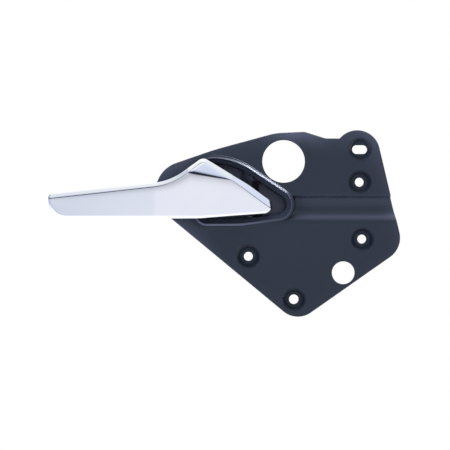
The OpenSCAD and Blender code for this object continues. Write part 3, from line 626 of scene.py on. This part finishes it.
FRONT_Y = -7.5
POCKET_DEPTH = 21.5
SEAT_DEPTH = 5.0
FLARE_W, FLARE_DEPTH = 3.1, 3.2
LOCK_AT, LOCK_R = (-6.3, 83.0), 12.8
SERVICE_AT, SERVICE_R = (29.5, 16.1), 6.85
SLOT_AT, SLOT_REACH, SLOT_R = (39.7, 90.3), 1.9, 2.65
SCREWS = [((0.0, 0.0), 2.9), ((-27.4, 25.9), 2.7), ((39.5, 70.6), 2.7), ((41.0, 36.3), 2.7)]
PLATE_CORNERS = [
    (1.6, -13.8, 13.6), (65.5, 31.0, 14.1), (45.2, 116.8, 14.0), (27.4, 96.8, 0.5), (18.9, 96.8, 9.0),
    (6.2, 100.8, 6.0), (-11.2, 100.0, 36.0), (-47.7, 90.1, 180.0), (-101.4, 71.5, 18.1),
]
PLATE_LINE = rounded_line(PLATE_CORNERS)
HOLES = [(LOCK_AT, LOCK_R), (SERVICE_AT, SERVICE_R), *SCREWS]
BOWLS = [*(at for at, _ in SCREWS), SLOT_AT]
BOWL_R, BOWL_WALL = 7.1, 2.4
CHANNEL_FROM = -9.0
CHANNEL_LINE = rounded_line([
    (43.0, 0.0, 0), (47.4, 0.0, 4.0), (53.6, 5.0, 8.0), (61.0, 5.0, 0.6), (62.5, 0.0, 0.3), (64.5, 0.0, 0),
], closed=False, steps=10)
POCKET_CORNERS = [
    (-60.0, 45.1, 7.8),
    (-32.0, 45.1, 60.0),
    (15.25, 51.40, 9.2),
    (-36.5, 85.4, 42.0),
    (-60.0, 85.4, 11.0),
]
POCKET_LINE = rounded_line(POCKET_CORNERS, steps=40)
COLLAR_STEP, RIM_SKIN = 0.8, 0.08
RIM_LEAN = 0.386
RIM_SECTION = [(0, -0.86, 0), (0, -0.83, 0.5), (0, -0.74, 0.86), (0, -0.5, 1), (0, 0.05, 0.93),
               (0.05, 0.5, 0.76), (0.22, 0.45, 0.42), (0.5, 0.15, 0.14), (0.8, 0, 0.03), (1, 0, 0)]


def from_slot(x, z):
    """Distance from the slot's middle line, the segment between its two end centres."""
    return np.hypot(x - SLOT_AT[0] - np.clip(x - SLOT_AT[0], -SLOT_REACH, SLOT_REACH), z - SLOT_AT[1])


def channel_depth(x, z):
    """Depth of the channel, which lies right of CHANNEL_FROM."""
    return np.interp(z, CHANNEL_LINE[:, 0], CHANNEL_LINE[:, 1]) * (x > CHANNEL_FROM)


def front_depth(x, z):
    """How deep the plate's front lies behind its foremost plane.

    The channel's profile right of the pocket, plus an edge rolled over by 0.9 and a slow fall
    of 0.25 (1 - d / 6)^2 along the outline, small rolls at the plain holes, and at each screw
    point a bowl, 5 times the smooth step of (7.1 - r) / 2.4.
    """
    edge = distance_to(PLATE_LINE, x, z, closed=True)
    depth = channel_depth(x, z) + rolled(edge, 0.9) + 0.25 * np.clip(1 - edge / 6, 0, 1) ** 2
    for at, r in ((LOCK_AT, LOCK_R), (SERVICE_AT, SERVICE_R)):
        depth = depth + rolled(np.hypot(x - at[0], z - at[1]) - r, 0.35)
    for at in BOWLS:
        s = smooth_step((BOWL_R - np.hypot(x - at[0], z - at[1])) / BOWL_WALL)
        depth = depth * (1 - s) + SEAT_DEPTH * s
    return depth


def ring_round(at, radius, count=72):
    """Closed circle of points."""
    w = np.linspace(0, 2 * np.pi, count + 1)[:-1]
    return np.stack([at[0] + radius * np.cos(w), at[1] + radius * np.sin(w)], 1)


def inside_line(line, x, z):
    """True where a ray to the right crosses the closed line an odd number of times."""
    crossed = np.zeros(x.shape, int)
    for (ax, az), (bx, bz) in zip(line, np.roll(line, -1, 0)):
        if az != bz:
            spans = (az > z) != (bz > z)
            crossed += spans & (x < ax + (z - az) * (bx - ax) / (bz - az))
    return crossed % 2 == 1


def grid_points(xs, zs):
    """Points (x, z) of a grid, row by row."""
    return np.stack(np.meshgrid(xs, zs), -1).reshape(-1, 2)


def on_front(x, z, pocket_hole, share=1.0):
    """True inside the outline and outside the pocket and the holes, these times a share."""
    keep = inside_line(PLATE_LINE, x, z) & ~inside_line(pocket_hole, x, z)
    for at, r in HOLES:
        keep &= np.hypot(x - at[0], z - at[1]) > r * share
    return keep & (from_slot(x, z) > SLOT_R * share)


def front_borders(pocket_hole):
    """Closed lines at which the front ends: its outline, the pocket and the holes."""
    slot_ring = rounded_line([
        (SLOT_AT[0] + a * (SLOT_REACH + SLOT_R), SLOT_AT[1] + b * SLOT_R, SLOT_R * 0.999)
        for a, b in ((-1, -1), (1, -1), (1, 1), (-1, 1))
    ], steps=12)
    return [
        finer(0.7, PLATE_LINE)[0], pocket_hole, ring_round(LOCK_AT, LOCK_R, 144),
        ring_round(SERVICE_AT, SERVICE_R, 96), slot_ring, *(ring_round(at, r) for at, r in SCREWS),
    ]


def front_inner_points():
    """Points between the borders: rings along them and in the bowls, rows along the channel
    and an even grid."""
    edge_steps, hole_steps = (0.12, 0.3, 0.55, 0.9, 1.6, 2.6), (0.1, 0.22, 0.4)
    parts = [finer(0.7, rounded_line(PLATE_CORNERS, grow=-d))[0] for d in edge_steps]
    parts += [ring_round(LOCK_AT, LOCK_R + d, 144) for d in hole_steps]
    parts += [ring_round(SERVICE_AT, SERVICE_R + d, 96) for d in hole_steps]
    for at in BOWLS:
        parts += [ring_round(at, r) for r in np.arange(4.7, 7.4, 0.2)]
    rows = np.unique(CHANNEL_LINE[:, 0].round(3))
    parts.append(grid_points(np.arange(CHANNEL_FROM + 0.02, 66.0, 1.6), rows))
    parts.append(grid_points([CHANNEL_FROM - 0.02], rows))
    parts.append(grid_points(np.arange(-97.0, 66.0, 1.1), np.arange(-13.0, 112.0, 1.1)))
    return np.concatenate(parts)


def plate_front():
    """Front of the plate: the points of front_depth over the outline, less its openings.

    The shading normal is (dD/dx, -1, dD/dz) of the depth D. Inner points closer to a border
    or to each other than about 0.09 are left out.
    """
    pocket_hole = finer(0.9, rounded_line(POCKET_CORNERS, grow=0.3))[0]
    borders = front_borders(pocket_hole)
    inner = front_inner_points()
    x, z = inner.T
    keep = on_front(x, z, pocket_hole)
    for border in borders:
        keep &= distance_to(border, x, z, closed=True) > 0.09
    points = np.concatenate([*borders, inner[keep]])
    _, first = np.unique((points / 0.08).round().astype(int), axis=0, return_index=True)
    total = sum(len(b) for b in borders)
    first = np.concatenate([np.arange(total), np.sort(first[first >= total])])
    points = points[first]
    rims, start = [], 0
    for border in borders:
        rims += [(start + i, start + (i + 1) % len(border)) for i in range(len(border))]
        start += len(border)
    flat, _, tris, *_ = delaunay_2d_cdt([Vector(p) for p in points.tolist()], rims, [], 0, 1e-4)
    flat = np.array([tuple(v) for v in flat])
    tris = np.array([t for t in tris if len(t) == 3])
    tris = tris[on_front(*flat[tris].mean(1).T, pocket_hole, 0.9995)]
    x, z = flat.T
    step = 0.02
    slope_x = (front_depth(x + step, z) - front_depth(x - step, z)) / (2 * step)
    slope_z = (front_depth(x, z + step) - front_depth(x, z - step)) / (2 * step)
    normals = np.stack([slope_x, np.full_like(x, -1.0), slope_z], 1)
    normals /= np.linalg.norm(normals, axis=1)[:, None]
    verts = np.stack([x, FRONT_Y + front_depth(x, z), z], 1)
    return verts, tris.tolist(), normals


def bowl_share(x, z):
    """1 in the bowls round the screw points, 0 outside them."""
    share = np.zeros(x.shape)
    for at in BOWLS:
        share = np.maximum(share, smooth_step((7.8 - np.hypot(x - at[0], z - at[1])) / 1.4))
    return share


def painted_front_light(x, z):
    """Painted light and shade on the front, stored as its tone: a painted sheen lighter towards the
    outline, above all over the large hole, on the ear and at the left tip; painted highlights along the
    channel; painted shade slightly darker in the bowls and lower down."""
    edge = distance_to(PLATE_LINE, x, z, closed=True)
    tone = 0.11 * np.exp(-edge / 3.0)
    tone += 0.36 * bell(edge, 5.5) * bell(x - 1.0, 14.0) * (z > 80)
    tone += 0.14 * bell(edge, 8.0) * np.exp(-(((x - 46.0) ** 2 + (z - 98.0) ** 2) / 200.0))
    tone += 0.16 * bell(edge, 8.0) * bell(x + 74.0, 18.0)
    right = smooth_step((x + 2.0) / 12.0)
    tone += right * 0.24 * bell(z - 50.0, 1.5)
    tone += right * 0.05 * smooth_step((z - 51.0) / 4.0) * (z < 62.6)
    tone += right * (0.18 * bell(z - 61.9, 0.7) + 0.05 * bell(z - 59.3, 1.6))
    return tone - 0.03 * bowl_share(x, z) - 0.08 * smooth_step((45.0 - z) / 40.0)


front_points, front_faces, front_normals = plate_front()
front = mesh_object("plate_front", front_points, front_faces, smooth_angle=180.0)
front.data.normals_split_custom_set_from_vertices(front_normals.tolist())
# painted light and shade on the front, which the finish mixes into its colour
store(front, "tone", painted_front_light(*front_points[:, [0, 2]].T))
store(front, "polish", -bowl_share(*front_points[:, [0, 2]].T))
front.data.materials.append(plate_finish)
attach(front, "plate")


def softened_copy(node, name, width, angle):
    """A node's mesh with its doubles merged, flat areas joined and sharp edges rounded over.

    Points at the front are set just behind the front surface. The faces that the front covers
    are left out, and so are the faces round the pocket that the collar covers.
    """
    behind, same_level = 0.05, 0.15
    collar_reach, collar_foot, small_face = 3.75, FRONT_Y + 2.5, 20 * MM**2
    mesh, bm = cad_copy(node, name)
    bmesh.ops.dissolve_limit(
        bm, angle_limit=math.radians(0.6), verts=bm.verts, edges=bm.edges, use_dissolve_boundaries=False
    )
    at = np.array([v.co for v in bm.verts]) / MM
    y_front = FRONT_Y + front_depth(at[:, 0], at[:, 2]) + behind
    clear = (at[:, 1] < y_front) & ~inside_line(rounded_line(POCKET_CORNERS, grow=1.0), at[:, 0], at[:, 2])
    clear &= at[:, 1] > FRONT_Y - behind
    for v, new in zip([v for v, c in zip(bm.verts, clear) if c], y_front[clear]):
        v.co.y = new * MM
    level = np.abs(np.where(clear, y_front, at[:, 1]) - y_front) < same_level
    bm.verts.index_update()
    bm.normal_update()
    covered = [f for f in bm.faces if f.normal.y < -0.1 and all(level[v.index] for v in f.verts)]
    bmesh.ops.delete(bm, geom=covered, context="FACES")
    bm.verts.index_update()
    at = np.array([v.co for v in bm.verts]) / MM
    near_rim = distance_to(POCKET_LINE, at[:, 0], at[:, 2], True) < collar_reach
    within = inside_line(rounded_line(POCKET_CORNERS, grow=0.1), at[:, 0], at[:, 2])
    covered = [
        f for f in bm.faces
        if all(near_rim[v.index] for v in f.verts) and (abs(f.normal.y) < 0.9 or f.calc_area() < small_face)
        and (all(within[v.index] for v in f.verts) or f.calc_center_median().y < collar_foot * MM)
    ]
    bmesh.ops.delete(bm, geom=covered, context="FACES")
    put_back(bm, mesh)
    obj = shaded_object(name, mesh, angle)
    bevel = obj.modifiers.new("soft_edge", "BEVEL")
    bevel.width = width * MM
    bevel.segments = 2
    bevel.limit_method = "ANGLE"
    bevel.angle_limit = math.radians(angle)
    even = obj.modifiers.new("even_shading", "WEIGHTED_NORMAL")
    even.keep_sharp = True
    return obj


plate = softened_copy("mounting_plate", "moulded_plate", 0.4, 40)
plate.data.materials.append(plate_finish)
plate_points = np.array([v.co for v in plate.data.vertices]) / MM
in_pocket = inside_line(POCKET_LINE, *plate_points[:, [0, 2]].T)
# painted light on the pocket's inside, rising over its first few millimetres of depth
store(plate, "tone", 0.22 * smooth_step((plate_points[:, 1] + 2.0) / 6.0) * in_pocket)
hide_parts("mounting_plate")
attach(plate, "plate")


def eased_curve(points, per_span=6):
    """Smooth curve through points: each span is a cubic with the neighbours' mean slopes."""
    pts = np.asarray(points, float)
    slope = np.gradient(pts, axis=0)
    s = np.linspace(0, 1, per_span + 1)[:-1, None]
    a, b, da, db = pts[:-1, None], pts[1:, None], slope[:-1, None], slope[1:, None]
    ends = a * (2 * s**3 - 3 * s**2 + 1) + b * (3 * s**2 - 2 * s**3)
    spans = ends + da * (s**3 - 2 * s**2 + s) + db * (s**3 - s**2)
    return np.concatenate([spans.reshape(-1, pts.shape[1]), pts[-1:]])


def pocket_collar():
    """Rim and walls of the pocket: one section carried round the rim line.

    The section comes up the leaning inner wall, rolls over the crest and runs down the outer
    slope, whose height and width grow to the left, then into the plate, deeper where the
    channel starts. Each of its points is a distance outside the rim line and a height over the
    front of the plate. Along the upper side the crest is a facet that leans outwards by 21
    degrees. The whole section stands RIM_SKIN off the CAD's own faces.
    """
    outwards = rounded_line(POCKET_CORNERS, grow=1.0, steps=40) - POCKET_LINE
    line, out = finer(COLLAR_STEP, POCKET_LINE, outwards)
    right = line[:, 0].max()
    left = (right - line[:, 0]) / (right - POCKET_CORNERS[0][0])
    height, slope = 1 + 2 * left, 1.3 + 2.1 * left
    section = eased_curve(RIM_SECTION)
    low_side, high_side = np.clip(-out[:, 1], 0, 1), np.clip(out[:, 1], 0, 1)
    slope = slope * (1 - 0.4 * high_side)
    reach = section[:, :1] * slope + section[:, 1:2]
    rise = section[:, 2:] * height
    on_facet = smooth_step((reach + 0.6) / 0.2) * smooth_step((0.68 - reach) / 0.14) * high_side
    rise = rise + on_facet * (height - RIM_LEAN * (reach + 0.45) - rise)
    wall = np.linspace(POCKET_DEPTH - 0.02, FLARE_DEPTH, 12)
    depth = np.concatenate([wall, [2.7, 2.1, 1.5, 0.9, 0.4]])[:, None]
    inner = np.where(
        depth >= FLARE_DEPTH, -FLARE_W - 0.27 * (depth - FLARE_DEPTH) / (POCKET_DEPTH - FLARE_DEPTH),
        -0.86 - (FLARE_W - 0.86) * depth / FLARE_DEPTH,
    ) + 0 * slope
    foot_x, foot_z = (line + 2.0 * out).T
    outer_depth = np.stack([0.3 + 0 * slope, 1.5 + 0 * slope, 3.0 + 0.58 * channel_depth(foot_x, foot_z)])
    outer = slope + (2.4 - slope) * np.clip((outer_depth - 1.2) / 1.8, 0, 1)
    reach = np.concatenate([inner, reach, outer])
    rise = np.concatenate([-depth + 0 * slope, rise, -outer_depth + 0 * slope])
    du, dv = np.gradient(reach, axis=0), np.gradient(rise, axis=0)
    size = np.maximum(np.hypot(du, dv), 1e-6)
    reach, rise = reach - RIM_SKIN * dv / size, rise + RIM_SKIN * du / size
    x, z = line[:, 0] + out[:, 0] * reach, line[:, 1] + out[:, 1] * reach
    from_hole = np.hypot(x - LOCK_AT[0], z - LOCK_AT[1])
    push = np.maximum((LOCK_R - 0.02) / from_hole, 1)
    x, z = LOCK_AT[0] + (x - LOCK_AT[0]) * push, LOCK_AT[1] + (z - LOCK_AT[1]) * push
    points = np.stack([x, FRONT_Y - rise, z], -1)
    # painted highlight along the crest, strongest on the upper side and at the lower left, and painted
    # light on the inner walls, stored as the collar's tone
    crest = bell(reach + 0.45 - 0.8 * low_side, 0.35 + 0.2 * low_side) * (rise > 0.4 * height)
    inside = smooth_step(-(reach + 0.8) / 0.5)
    light = 0.14 + 0.52 * high_side + low_side * (0.16 + 0.50 * smooth_step((-8.0 - line[:, 0]) / 30.0))
    tone = light * crest + inside * (0.15 + 0.08 * smooth_step((-rise - 2.6) / 1.5))
    band = bell(reach - 0.05, 0.7) * (rise > 0.6 * height)
    polish = 0.6 * band * high_side * smooth_step((line[:, 0] + 33.0) / 9.0)
    faces = strip_faces(*points.shape[:2], wrap_cols=True)
    return points.reshape(-1, 3), faces, tone.ravel(), polish.ravel()


collar_points, collar_faces, collar_painted_light, collar_polish = pocket_collar()
collar = mesh_object("pocket_collar", collar_points, collar_faces, smooth_angle=60.0)
store(collar, "tone", collar_painted_light)
store(collar, "polish", collar_polish)
collar.data.materials.append(plate_finish)
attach(collar, "plate")


# Return spring


def wound_spring():
    """The spring's own mesh with its doubles merged, in spring steel. The spring winds up as the lever is
    pulled, which this function does not set up.
    """
    mesh, bm = cad_copy("return_spring", "wound_spring")
    put_back(bm, mesh)
    mesh.materials.append(spring_finish)
    return shaded_object("wound_spring", mesh, 50)


spring = wound_spring()
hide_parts("return_spring")
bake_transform(spring)


# Light, floor and camera

CAMERA_AT, HALF_VIEW = (-0.0415, -1.0075, 0.0448), 0.135
MIDDLE = (-0.04, 0, 0.05)
FLOOR_AT, FLOOR_R = (-40, -300, -130), 490

def surroundings():
    """White room: even light, with a shaded band over the front that polished metal shows.

    Colour by direction: azimuth from the front sets a slow change to the right, and a band
    of elevation is dark. The camera sees plain white.
    """
    world = bpy.data.worlds.new("pale_studio")
    bpy.context.scene.world = world
    world.use_nodes = True
    tree = world.node_tree
    link = tree.links.new
    ground = tree.nodes["Background"]
    out = tree.nodes["World Output"]
    ray = add_node(tree, "ShaderNodeLightPath")
    where = add_node(tree, "ShaderNodeTexCoord").outputs["Generated"]
    parts = add_node(tree, "ShaderNodeSeparateXYZ")
    link(where, parts.inputs[0])
    band = add_node(tree, "ShaderNodeValToRGB")
    band.color_ramp.interpolation = "EASE"
    stops = [
        (0.0, (1.9, 1.9, 1.9)), (0.30, (1.7, 1.7, 1.7)), (0.455, (1.0, 1.0, 1.0)), (0.53, (1.0, 1.0, 1.0)),
        (0.57, (0.03, 0.03, 0.05)), (0.645, (0.02, 0.02, 0.03)), (0.70, (0.57, 0.62, 0.72)),
        (0.77, (0.85, 0.89, 0.99)), (0.84, (1.02, 1.05, 0.98)), (0.91, (1.42, 1.36, 1.17)),
        (1.0, (2.0, 2.0, 2.0)),
    ]
    ramp = band.color_ramp
    ramp.elements[0].position, ramp.elements[1].position = stops[0][0], stops[-1][0]
    for at, _ in stops[1:-1]:
        ramp.elements.new(at)
    for element, (_, colour) in zip(ramp.elements, stops):
        element.color = (*colour, 1)
    height = add_node(tree, "ShaderNodeMath", operation="MULTIPLY_ADD")
    height.inputs[1].default_value = 0.5
    height.inputs[2].default_value = 0.5
    link(parts.outputs["Z"], height.inputs[0])
    link(height.outputs[0], band.inputs[0])
    sweep = add_node(tree, "ShaderNodeMapRange")
    sweep.inputs["From Min"].default_value = -0.20
    sweep.inputs["From Max"].default_value = 0.0
    link(parts.outputs["X"], sweep.inputs["Value"])
    tint = add_node(tree, "ShaderNodeMix", data_type="RGBA")
    tint.inputs[6].default_value = (0.59, 0.63, 0.735, 1)
    tint.inputs[7].default_value = (0.925, 0.93, 0.965, 1)
    link(sweep.outputs["Result"], tint.inputs[0])
    shade = add_node(tree, "ShaderNodeMix", data_type="RGBA", blend_type="MULTIPLY")
    shade.inputs[0].default_value = 1.0
    link(tint.outputs[2], shade.inputs[6])
    link(band.outputs[0], shade.inputs[7])
    seen = add_node(tree, "ShaderNodeMix", data_type="RGBA")
    seen.inputs[7].default_value = (1, 1, 1, 1)
    link(ray.outputs["Is Camera Ray"], seen.inputs[0])
    link(shade.outputs[2], seen.inputs[6])
    link(seen.outputs[2], ground.inputs["Color"])
    level = add_node(tree, "ShaderNodeMapRange")
    level.inputs["To Min"].default_value = 1.0
    level.inputs["To Max"].default_value = 0.25
    link(ray.outputs["Is Diffuse Ray"], level.inputs["Value"])
    link(level.outputs["Result"], ground.inputs["Strength"])
    link(ground.outputs[0], out.inputs["Surface"])


def lamp(name, at, aim, size, power, turn=0.0, only=()):
    """Soft rectangular lamp at a point, facing another point and turned about that line.

    A lamp for some pieces only is a shine on them, and lights nothing else. The other lamps
    light everything and show in no reflection.
    """
    data = bpy.data.lights.new(name, "AREA")
    data.shape = "RECTANGLE"
    data.size, data.size_y = size
    data.energy = power
    obj = linked_object(name, data)
    obj.location = at
    facing = (Vector(at) - Vector(aim)).to_track_quat("Z", "Y").to_matrix()
    obj.rotation_euler = (facing @ Matrix.Rotation(turn, 3, "Z")).to_euler()
    obj.visible_glossy = bool(only)
    obj.visible_diffuse = not only
    if only:
        group = bpy.data.collections.new(name + "_pieces")
        for piece in only:
            group.objects.link(piece)
        obj.light_linking.receiver_collection = group


def floor_disc():
    """Pale round floor, lower than the view from the front reaches."""
    ring = ring_round(FLOOR_AT[:2], FLOOR_R, 96)
    ring = np.column_stack([ring, np.full(len(ring), FLOOR_AT[2])])
    floor = mesh_object("pale_floor", ring, [list(range(len(ring)))])
    material, tree, surface, point = new_material("pale_floor_paint")
    tone = place_group(tree, DRIFT, point, Size=3.0, Low=(0.84, 0.84, 0.84, 1), High=(0.87, 0.87, 0.87, 1))
    tree.links.new(tone.outputs["Color"], surface.inputs["Base Color"])
    surface.inputs["Roughness"].default_value = 0.8
    ray = add_node(tree, "ShaderNodeLightPath")
    shown = tree.nodes.new("ShaderNodeEmission")
    shown.inputs["Strength"].default_value = 1.25
    mix = tree.nodes.new("ShaderNodeMixShader")
    tree.links.new(ray.outputs["Is Glossy Ray"], mix.inputs[0])
    tree.links.new(surface.outputs[0], mix.inputs[1])
    tree.links.new(shown.outputs[0], mix.inputs[2])
    tree.links.new(mix.outputs[0], tree.nodes["Material Output"].inputs["Surface"])
    floor.data.materials.append(material)


def front_camera():
    """Level camera a metre in front of the plate, at the photograph's angle."""
    data = bpy.data.cameras.new("front_camera")
    data.angle = 2 * math.atan(HALF_VIEW)
    obj = linked_object("front_camera", data)
    obj.location = CAMERA_AT
    obj.rotation_euler = (math.pi / 2, 0, 0)
    bpy.context.scene.camera = obj


surroundings()
floor_disc()
front_camera()
lamp("rim_light", (0.366, -0.719, 0.649), (-0.015, 0, 0.068), (0.10, 0.8), 25.0, -0.74, [collar])
lamp("front_light", (0.02, -1.35, 0.20), MIDDLE, (0.7, 0.7), 8.0)
lamp("left_light", (-1.00, -0.70, 0.25), MIDDLE, (0.5, 0.7), 3.0)
lamp("top_light", (0.0, -0.45, 1.25), MIDDLE, (0.9, 0.5), 5.0)
bpy.context.scene.view_settings.view_transform = "Standard"
